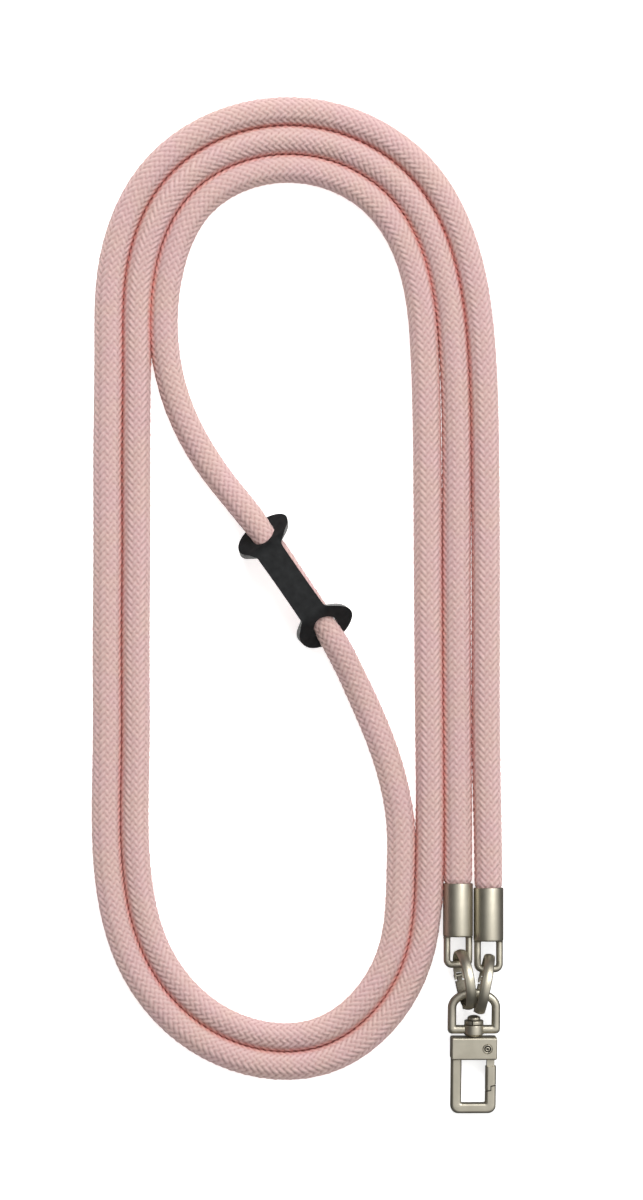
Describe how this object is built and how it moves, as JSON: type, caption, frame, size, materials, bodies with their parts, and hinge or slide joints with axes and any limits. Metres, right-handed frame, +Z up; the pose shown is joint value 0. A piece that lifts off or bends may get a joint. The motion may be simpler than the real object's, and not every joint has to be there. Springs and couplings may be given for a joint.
{
  "type": "phone crossbody strap with swivel hook and cord slider",
  "caption": "Braided cord strap in nested loops, with capped ends, gate rings, D-ring, swivel snap hook and a dog-bone cord slider.",
  "frame": {"origin": "on the surface that the strap lies on, under the centre of the box round the hardware and the slider", "axes": "+X to the right and +Y to the top of the picture, from the hook towards the slider; +Z up from the surface"},
  "size_m": [0.1192, 0.2946, 0.018],
  "materials": {
    "braided_cord": "pink polyester round braid",
    "satin_nickel": "satin nickel plate over die-cast zinc",
    "black_leather": "black fine-grained leather with lighter cut edges"
  },
  "bodies": {
    "strap": {"cord": "braided_cord", "ferrule_left": "satin_nickel", "ferrule_right": "satin_nickel", "ring_left": "satin_nickel", "ring_left_gate": "satin_nickel", "ring_right": "satin_nickel", "ring_right_gate": "satin_nickel", "d_ring": "satin_nickel", "swivel_washer": "satin_nickel", "slider": "black_leather"},
    "hook": {"hook_body": "satin_nickel", "gate_rivet": "satin_nickel", "swivel_rivet": "satin_nickel"},
    "gate": {"hook_gate": "satin_nickel"}
  },
  "joints": [
    {"name": "hook_swivel", "type": "hinge", "parent": "strap", "child": "hook", "pos_m": [0.0298, -0.0626, 0.00444], "axis": [0, 0.9925, 0.1219], "continuous": true},
    {"name": "gate_hinge", "type": "hinge", "parent": "hook", "child": "gate", "pos_m": [0.03365, -0.06801, 0.00377], "axis": [0, 0.1219, -0.9925], "range_deg": [0, 30], "stiffness_Nm_per_rad": 0.004}
  ]
}
